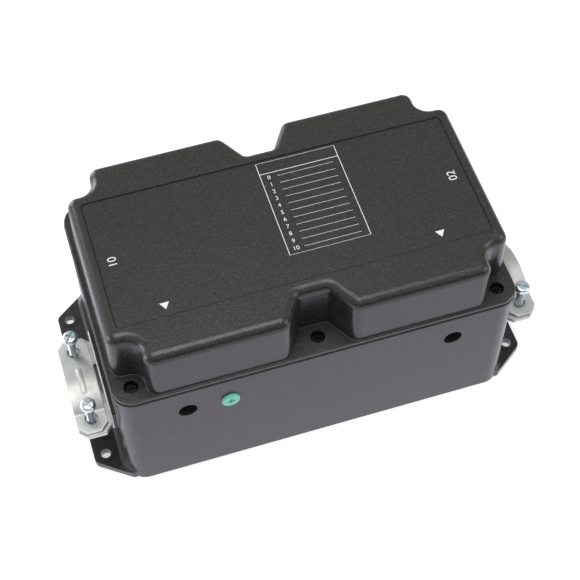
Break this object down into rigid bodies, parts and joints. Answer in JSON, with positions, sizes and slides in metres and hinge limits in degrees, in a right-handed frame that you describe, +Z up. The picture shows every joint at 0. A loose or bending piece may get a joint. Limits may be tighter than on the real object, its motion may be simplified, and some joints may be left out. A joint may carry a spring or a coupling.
{
  "type": "whole house surge protector",
  "caption": "Black moulded case with a stepped screw-down cover, mounting flanges, and a two-screw cable clamp at each end; power contactor, surge board and lugs inside.",
  "frame": {"origin": "middle of the underside, on the surface that the mounting flanges rest on", "axes": "+X from the line end to the load end, -Y out of the front wall with the ground-screw holes, +Z up out of the cover"},
  "size_m": [0.3128, 0.1579, 0.14],
  "materials": {
    "case_plastic": "moulded black ABS with a fine grain",
    "gasket_rubber": "foam rubber cord",
    "black_steel": "black-oxide steel",
    "zinc_casting": "die-cast zinc, tumbled",
    "plated_steel": "zinc-plated pressed steel",
    "bright_zinc": "bright zinc plate",
    "plated_copper": "rolled copper",
    "lug_aluminium": "tin-plated aluminium",
    "green_screw": "green-dyed zinc plate",
    "contactor_plastic": "phenolic moulding",
    "lamination_steel": "laminated steel",
    "coil_winding": "taped enamelled winding",
    "carrier_plastic": "glass-filled nylon",
    "spring_steel": "music wire",
    "transformer_tape": "yellow polyester tape",
    "circuit_board": "solder mask over glass epoxy",
    "relay_plastic": "moulded relay case",
    "capacitor_sleeve": "heat-shrink sleeve",
    "chip_resin": "moulded epoxy",
    "black_insulation": "thermoplastic wire insulation",
    "red_insulation": "thermoplastic wire insulation",
    "green_insulation": "thermoplastic wire insulation",
    "white_insulation": "thermoplastic wire insulation",
    "varistor_resin": "blue epoxy dip"
  },
  "bodies": {
    "housing": {"base_tub": "case_plastic", "cover_pillars": "case_plastic", "ground_bosses": "case_plastic", "mounting_posts": "case_plastic", "cover_gasket": "gasket_rubber", "left_connector_body": "zinc_casting", "right_connector_body": "zinc_casting", "left_locknut": "plated_steel", "right_locknut": "plated_steel", "ground_bar": "plated_copper", "left_ground_lug": "lug_aluminium", "right_ground_lug": "lug_aluminium", "ground_screw": "green_screw", "ground_bar_screw": "bright_zinc", "contactor_base": "contactor_plastic", "contactor_core": "lamination_steel", "contactor_coil": "coil_winding", "return_springs": "spring_steel", "line_straps": "plated_copper", "load_straps": "plated_copper", "contactor_hood": "contactor_plastic", "contactor_screws": "bright_zinc", "line_lugs": "lug_aluminium", "load_lugs": "lug_aluminium", "neutral_lugs": "lug_aluminium", "line_lug_screws": "plated_steel", "load_lug_screws": "plated_steel", "neutral_lug_screws": "plated_steel", "current_transformers": "transformer_tape", "transformer_cradle": "carrier_plastic", "output_block": "contactor_plastic", "neutral_bar": "plated_copper", "neutral_bar_screws": "bright_zinc", "black_leads": "black_insulation", "red_leads": "red_insulation", "ground_lead": "green_insulation", "neutral_lead": "white_insulation", "control_board": "circuit_board", "surge_board": "circuit_board", "board_screws": "bright_zinc", "supply_transformer": "transformer_tape", "coil_relays": "relay_plastic", "board_capacitors": "capacitor_sleeve", "board_chips": "chip_resin", "display_jack": "relay_plastic", "surge_varistors": "varistor_resin"},
    "cover": {"cover": "case_plastic", "cover_screws": "black_steel"},
    "left_strap": {"left_clamp_strap": "plated_steel"},
    "right_strap": {"right_clamp_strap": "plated_steel"},
    "armature": {"contactor_armature": "lamination_steel", "contact_carrier": "carrier_plastic", "moving_contacts": "plated_copper"},
    "left_front_clamp_screw": {"left_front_clamp_screw": "bright_zinc"},
    "left_rear_clamp_screw": {"left_rear_clamp_screw": "bright_zinc"},
    "right_front_clamp_screw": {"right_front_clamp_screw": "bright_zinc"},
    "right_rear_clamp_screw": {"right_rear_clamp_screw": "bright_zinc"},
    "left_ground_lug_screw": {"left_ground_lug_screw": "plated_steel"},
    "right_ground_lug_screw": {"right_ground_lug_screw": "plated_steel"}
  },
  "joints": [
    {"name": "cover_lift", "type": "slide", "parent": "housing", "child": "cover", "axis": [0, 0, 1], "range_m": [0, 0.08]},
    {"name": "left_strap_slide", "type": "slide", "parent": "housing", "child": "left_strap", "axis": [0, 0, 1], "range_m": [0, 0.0164]},
    {"name": "left_front_clamp_screw_feed", "type": "slide", "parent": "housing", "child": "left_front_clamp_screw", "axis": [0, 0, 1], "range_m": [-0.0164, 0]},
    {"name": "left_rear_clamp_screw_feed", "type": "slide", "parent": "housing", "child": "left_rear_clamp_screw", "axis": [0, 0, 1], "range_m": [-0.0164, 0]},
    {"name": "left_ground_lug_screw_feed", "type": "slide", "parent": "housing", "child": "left_ground_lug_screw", "axis": [0, 1, 0], "range_m": [0, 0.0038]},
    {"name": "right_strap_slide", "type": "slide", "parent": "housing", "child": "right_strap", "axis": [0, 0, 1], "range_m": [0, 0.0164]},
    {"name": "right_front_clamp_screw_feed", "type": "slide", "parent": "housing", "child": "right_front_clamp_screw", "axis": [0, 0, 1], "range_m": [-0.0164, 0]},
    {"name": "right_rear_clamp_screw_feed", "type": "slide", "parent": "housing", "child": "right_rear_clamp_screw", "axis": [0, 0, 1], "range_m": [-0.0164, 0]},
    {"name": "right_ground_lug_screw_feed", "type": "slide", "parent": "housing", "child": "right_ground_lug_screw", "axis": [0, 1, 0], "range_m": [0, 0.0038]},
    {"name": "contactor_pull_in", "type": "slide", "parent": "housing", "child": "armature", "axis": [0, 0, -1], "range_m": [0, 0.0041], "stiffness_N_per_m": 500, "springref_m": -0.005, "deforming": ["return_springs"]}
  ]
}
